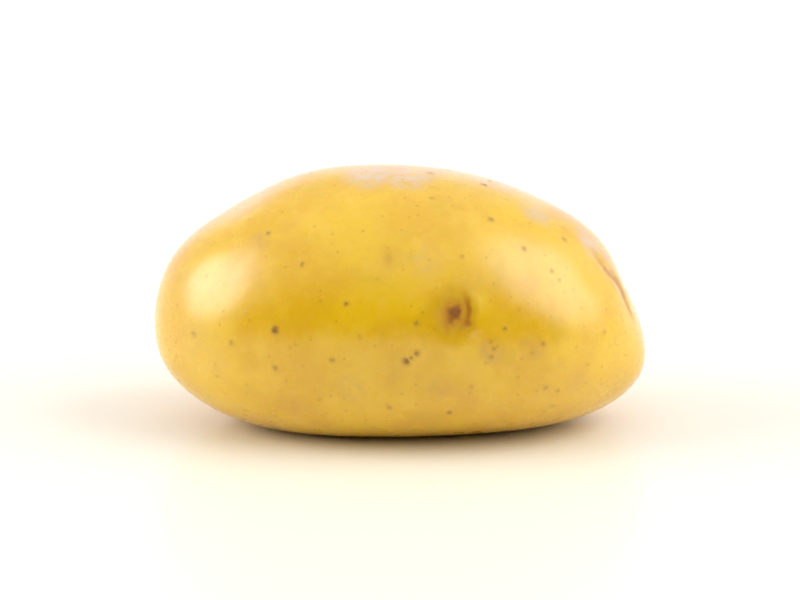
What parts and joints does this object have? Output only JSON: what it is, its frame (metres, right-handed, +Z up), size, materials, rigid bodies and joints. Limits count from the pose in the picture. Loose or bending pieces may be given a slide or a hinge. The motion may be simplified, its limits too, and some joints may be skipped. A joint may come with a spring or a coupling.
{
  "type": "potato",
  "caption": "Whole washed yellow-skinned potato, oval and slightly flattened, lying on a small flat spot on its underside.",
  "frame": {"origin": "on the resting surface, under the middle of the tuber's box", "axes": "+X along the tuber from its tapering rose end to its blunt stem end, +Y away from the side with the largest eye, +Z up"},
  "size_m": [0.075, 0.046, 0.0395],
  "materials": {
    "potato_skin": "satin"
  },
  "bodies": {
    "root": {"potato": "potato_skin"}
  },
  "joints": []
}
